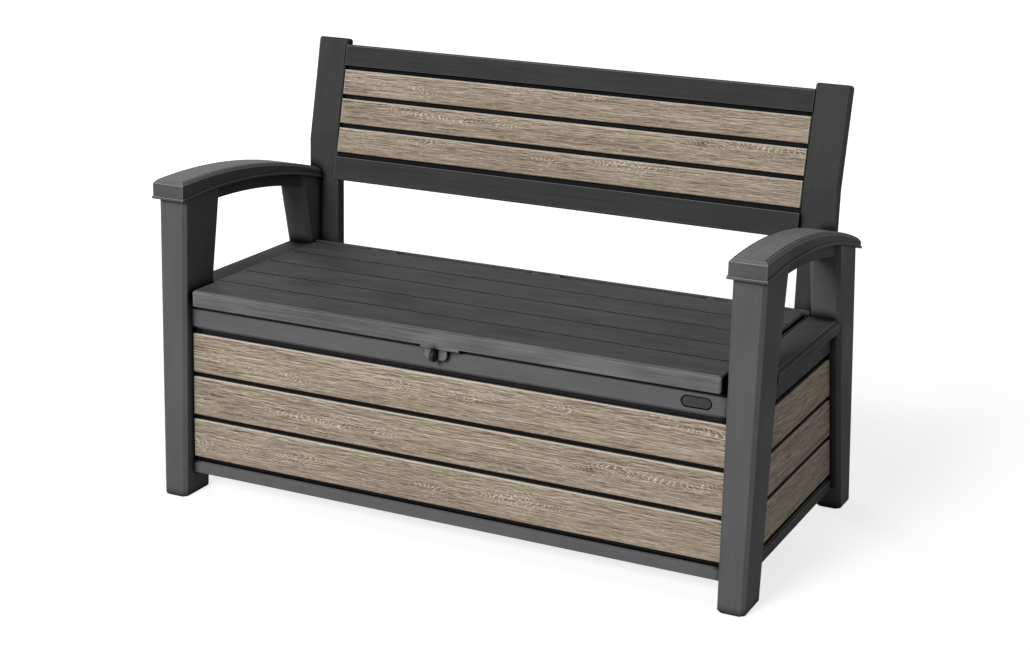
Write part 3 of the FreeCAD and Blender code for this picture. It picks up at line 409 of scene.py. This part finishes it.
# Blank plate: a thin oval of darker resin pressed into the recess at the right end of the front
# rail. Its flange is painted near black as painted shade, so it shows as a line round the
# raised middle.
def oval(length, height, steps=14):
    """Corners of a flat oval with half-round ends, about the middle."""
    straight, round_end = (length - height) / 2, height / 2
    turns = [math.pi * (step / steps - 0.5) for step in range(steps + 1)]
    right = [(straight + round_end * math.cos(turn), round_end * math.sin(turn))
             for turn in turns]
    return right + [(-x, -z) for x, z in right]


def blank_plate():
    plate_x, plate_z = 0.526, 0.395
    middle = Vector((plate_x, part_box("front_panel")[0].y, plate_z))
    # length, height and depth behind the face of the rail, from the back to the front
    flange = ((0.0612, 0.0232, 0.0015), (0.0612, 0.0232, 0.0011), (0.0568, 0.0188, 0.0011))
    raised = ((0.0560, 0.0180, 0.0004), (0.0480, 0.0100, 0.0002))
    shape = bmesh.new()
    rows = [[shape.verts.new(middle + Vector((x, depth, z))) for x, z in oval(length, height)]
            for length, height, depth in flange + raised]
    for step, (outer, inner) in enumerate(zip(rows, rows[1:]), start=1):
        for number in range(len(outer)):
            after = (number + 1) % len(outer)
            face = shape.faces.new((outer[number], outer[after], inner[after], inner[number]))
            face.material_index = 1 if step < len(flange) else 0
    shape.faces.new(rows[0]).material_index = 1
    shape.faces.new(rows[-1])
    bmesh.ops.recalc_face_normals(shape, faces=shape.faces)
    mesh = bpy.data.meshes.new("blank_plate")
    shape.to_mesh(mesh)
    shape.free()
    # The plate's rim is near black as painted shade, and its recess edges get painted shade.
    mesh.materials.append(graphite("graphite_plate", "XZY", 0.066, contrast=0.25, worn_lit_edge=0.08,
                                   relief=0.5, gap=(0.004, 0.45, 0.8)))
    mesh.materials.append(graphite("graphite_plate_rim_painted_shade", "XZY", 0.008, worn_lit_edge=0.02, relief=0.2))
    plate = bpy.data.objects.new("blank_plate", mesh)
    scene.collection.objects.link(plate)
    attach(plate, "bench")


blank_plate()


# Backrest: two bent resin posts bolted behind the rear wall, and a moulded panel with rails
# between them. Its three boards carry the same oak print as the front, turned to the slope.
RECLINE = math.radians(11.75)
SLOPE_TURN = (RECLINE, 0.0, 0.0)
SLOPE_MARGIN = 0.005
post_resin = graphite("graphite_post", "ZXY", 0.06, turn=SLOPE_TURN, contrast=0.1, worn_lit_edge=0.12)
dress(post_resin, "left_back_post", "right_back_post")
back_resin = graphite("graphite_back", "XZY", 0.05, turn=SLOPE_TURN, contrast=0.2, worn_lit_edge=0.3,
                      edge_wear_and_highlight=0.7)
dress(back_resin, "backrest_panel")


def lowest_along_slope(node):
    """The lowest point of a piece, measured along the slope of the backrest."""
    return min(vertex.co.z * math.cos(RECLINE) + vertex.co.y * math.sin(RECLINE)
               for vertex in nodes[node].data.vertices)


slope_low = lowest_along_slope("backrest_plank_bottom")
slope_step = lowest_along_slope("backrest_plank_middle") - slope_low
back_oak = oak("oak_back", "XZY", slope_low - SLOPE_MARGIN, slope_step, turn=SLOPE_TURN)
for level in LEVELS:
    dress(back_oak, f"backrest_plank_{level}")


# Hinge pins, bolts and nuts: zinc-plated steel with faint drawing lines. The pins run through the
# lugs of the rear wall and the knuckles of the lid, and the bolts hold the posts to the rear wall.
def zinc(name):
    dull, bright = (0.30, 0.30, 0.31, 1.0), (0.50, 0.50, 0.495, 1.0)
    line_depth = 0.0002
    material, tree, surface = new_material(name)
    spot = tree.nodes.new("ShaderNodeTexCoord").outputs["Object"]
    lines = stretched_noise(tree, spot, 60.0, 900.0, 900.0)
    cloud = put(tree, "ShaderNodeTexNoise", {"Vector": spot, "Scale": 160.0}).outputs["Fac"]
    lay_on(tree, surface, blended(tree, cloud, dull, bright),
           ranged(tree, lines, 0.0, 1.0, 0.35, 0.6),
           {"Strength": 0.15, "Distance": line_depth, "Height": lines})
    surface.inputs["Metallic"].default_value = 1.0
    return material


zinc_steel = zinc("zinc_steel")
PINS = ("hinge_pin_left", "hinge_pin_centre", "hinge_pin_right")
dress(zinc_steel, *PINS, "back_bolts", "back_nuts")


# Washers and clips: split spring washers round the bolt heads on the posts, and open clips on
# the ends of the hinge pins. Both are bent from flat steel strip and zinc-plated.
def make_ring_row():
    """One open ring of flat strip on each point of the mesh that it is given."""
    tree = bpy.data.node_groups.new("ring_row", "GeometryNodeTree")
    sockets = {"Geometry": "Geometry", "Inner Radius": "Float", "Outer Radius": "Float",
               "Thickness": "Float", "Opening": "Float", "Turn": "Vector", "Finish": "Material"}
    for label, kind in sockets.items():
        tree.interface.new_socket(label, in_out="INPUT", socket_type=f"NodeSocket{kind}")
    tree.interface.new_socket("Geometry", in_out="OUTPUT", socket_type="NodeSocketGeometry")
    given = tree.nodes.new("NodeGroupInput").outputs
    width = math_node(tree, "SUBTRACT", given["Outer Radius"], given["Inner Radius"])
    bend = put(tree, "GeometryNodeCurveArc", {
        "Resolution": 36,
        "Radius": math_node(tree, "MULTIPLY_ADD", width, 0.5, given["Inner Radius"]),
        "Start Angle": math_node(tree, "MULTIPLY", given["Opening"], 0.5),
        "Sweep Angle": math_node(tree, "SUBTRACT", 2.0 * math.pi, given["Opening"])})
    strip = put(tree, "GeometryNodeCurvePrimitiveQuadrilateral", {
        "Width": width, "Height": given["Thickness"]})
    ring = put(tree, "GeometryNodeCurveToMesh", {
        "Curve": bend.outputs[0], "Profile Curve": strip.outputs[0], "Fill Caps": True})
    turn = put(tree, "FunctionNodeEulerToRotation", {"Euler": given["Turn"]})
    row = put(tree, "GeometryNodeInstanceOnPoints", {
        "Points": given["Geometry"], "Instance": ring.outputs[0], "Rotation": turn.outputs[0]})
    plain = put(tree, "GeometryNodeRealizeInstances", {"Geometry": row.outputs[0]})
    flat = put(tree, "GeometryNodeSetShadeSmooth", {
        "Geometry": plain.outputs[0], "Shade Smooth": False})
    plated = put(tree, "GeometryNodeSetMaterial", {
        "Geometry": flat.outputs[0], "Material": given["Finish"]})
    put(tree, "NodeGroupOutput", {0: plated.outputs[0]})
    return tree


ring_row = make_ring_row()


def rings_at(name, spots, inner, outer, thickness, opening, turn):
    marks = bpy.data.meshes.new(f"{name}_marks")
    marks.from_pydata(spots, [], [])
    holder = bpy.data.objects.new(f"{name}_marks", marks)
    scene.collection.objects.link(holder)
    rings = holder.modifiers.new("rings", "NODES")
    rings.node_group = ring_row
    values = {"Inner Radius": inner, "Outer Radius": outer, "Thickness": thickness,
              "Opening": opening, "Turn": turn, "Finish": zinc_steel}
    for socket in ring_row.interface.items_tree:
        if socket.in_out == "INPUT" and socket.name in values:
            rings[socket.identifier] = values[socket.name]
    depsgraph = bpy.context.evaluated_depsgraph_get()
    mesh = bpy.data.meshes.new_from_object(holder.evaluated_get(depsgraph))
    bpy.data.objects.remove(holder)
    shape = bmesh.new()
    shape.from_mesh(mesh)
    bmesh.ops.recalc_face_normals(shape, faces=shape.faces)
    shape.to_mesh(mesh)
    shape.free()
    piece = bpy.data.objects.new(name, mesh)
    scene.collection.objects.link(piece)
    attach(piece, "bench")


HEAD_RADIUS, HEAD_HEIGHT, WASHER_THICKNESS = 0.007, 0.005, 0.0016
bolts_low, bolts_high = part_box("back_bolts")
washer_y = bolts_high.y - HEAD_HEIGHT + WASHER_THICKNESS / 2
heads = [(side * (bolts_high.x - HEAD_RADIUS), washer_y, height) for side in (-1.0, 1.0)
         for height in (bolts_low.z + HEAD_RADIUS, bolts_high.z - HEAD_RADIUS)]
rings_at("bolt_washers", heads, inner=0.0071, outer=0.011, thickness=WASHER_THICKNESS,
         opening=math.radians(9.0), turn=(math.pi / 2, 0.0, 0.0))
CLIP_INSET = 0.0013
ends = []
for pin in PINS:
    low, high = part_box(pin)
    ends += [(x, (low.y + high.y) / 2, (low.z + high.z) / 2)
             for x in (low.x + CLIP_INSET, high.x - CLIP_INSET)]
rings_at("pin_clips", ends, inner=(high.z - low.z) / 2, outer=0.0062, thickness=0.0012,
         opening=math.radians(70.0), turn=(0.0, math.pi / 2, 0.0))


# Studio: a plain pale floor below an even white surround, which keeps the shadow of the bench.
# One large soft light stands in front, left of the camera, and a weaker one lights the back.
def seen_directly(tree):
    """1 for rays from the eye, a reflection or a clear piece, 0 for those that only carry light."""
    path = tree.nodes.new("ShaderNodeLightPath").outputs
    seen = math_node(tree, "MAXIMUM", path["Is Camera Ray"], path["Is Glossy Ray"])
    return math_node(tree, "MAXIMUM", seen, path["Is Transmission Ray"])


def studio_floor():
    half, near, far, near_level = 14.0, 0.9, 2.6, 0.76
    corners = [(-half, -half, 0.0), (half, -half, 0.0), (half, half, 0.0), (-half, half, 0.0)]
    mesh = bpy.data.meshes.new("floor")
    mesh.from_pydata(corners, [], [(0, 1, 2, 3)])
    floor = bpy.data.objects.new("floor", mesh)
    scene.collection.objects.link(floor)
    material = bpy.data.materials.new("pale_floor")
    material.use_nodes = True
    tree = material.node_tree
    tree.nodes.clear()
    matt = put(tree, "ShaderNodeBsdfDiffuse", {"Color": (0.5, 0.5, 0.5, 1.0)})
    spot = tree.nodes.new("ShaderNodeTexCoord").outputs["Object"]
    away = put(tree, "ShaderNodeVectorMath", {0: spot}, operation="LENGTH").outputs["Value"]
    level = ranged(tree, away, near, far, near_level, 1.0)
    glow = put(tree, "ShaderNodeEmission", {
        "Strength": math_node(tree, "MULTIPLY", seen_directly(tree), level)})
    both = put(tree, "ShaderNodeAddShader", {0: matt.outputs[0], 1: glow.outputs[0]})
    put(tree, "ShaderNodeOutputMaterial", {"Surface": both.outputs[0]})
    mesh.materials.append(material)


def studio_world():
    light_level, seen_level = 0.17, 1.0
    world = bpy.data.worlds.new("studio")
    scene.world = world
    world.use_nodes = True
    tree = world.node_tree
    tree.nodes.clear()
    level = ranged(tree, seen_directly(tree), 0.0, 1.0, light_level, seen_level)
    sky = put(tree, "ShaderNodeBackground", {"Color": (1.0, 1.0, 1.0, 1.0), "Strength": level})
    put(tree, "ShaderNodeOutputWorld", {"Surface": sky.outputs[0]})


def soft_light(name, place, target, size, power):
    lamp = bpy.data.lights.new(name, "AREA")
    lamp.shape = "DISK"
    lamp.size = size
    lamp.energy = power
    light = bpy.data.objects.new(name, lamp)
    scene.collection.objects.link(light)
    light.location = place
    light.rotation_euler = (Vector(target) - Vector(place)).to_track_quat("-Z", "Y").to_euler()


studio_floor()
studio_world()
soft_light("key", place=(-0.8, -6.7, 3.7), target=(0.0, 0.0, 0.4), size=2.4, power=415.0)
soft_light("fill", place=(-5.0, 3.6, 0.75), target=(0.0, 0.2, 0.45), size=2.2, power=165.0)


# Camera: a long lens to the front right of the bench and above it, framed as in the photograph.
# Its place and turn were fitted to edges of the bench. Focal length and shifts are in pixels.
def photo_camera():
    picture_width, sensor_width = 1030.0, 36.0
    focal_length, shift_right, shift_up = 1961.77, 34.3, 25.2
    place = Vector((1.67804, -3.57051, 1.54929))
    yaw, pitch, roll = 0.45605, -0.3001, 0.0201
    ahead = Vector((-math.sin(yaw) * math.cos(pitch), math.cos(yaw) * math.cos(pitch),
                    math.sin(pitch)))
    level = Vector((math.cos(yaw), math.sin(yaw), 0.0))
    above = level.cross(ahead)
    right = level * math.cos(roll) + above * math.sin(roll)
    upward = above * math.cos(roll) - level * math.sin(roll)
    pose = Matrix((right, upward, -ahead)).transposed().to_4x4()
    pose.translation = place
    data = bpy.data.cameras.new("photo_camera")
    data.sensor_width = sensor_width
    data.lens = focal_length / picture_width * sensor_width
    data.shift_x = shift_right / picture_width
    data.shift_y = shift_up / picture_width
    camera = bpy.data.objects.new("photo_camera", data)
    scene.collection.objects.link(camera)
    camera.matrix_world = pose
    scene.camera = camera


photo_camera()
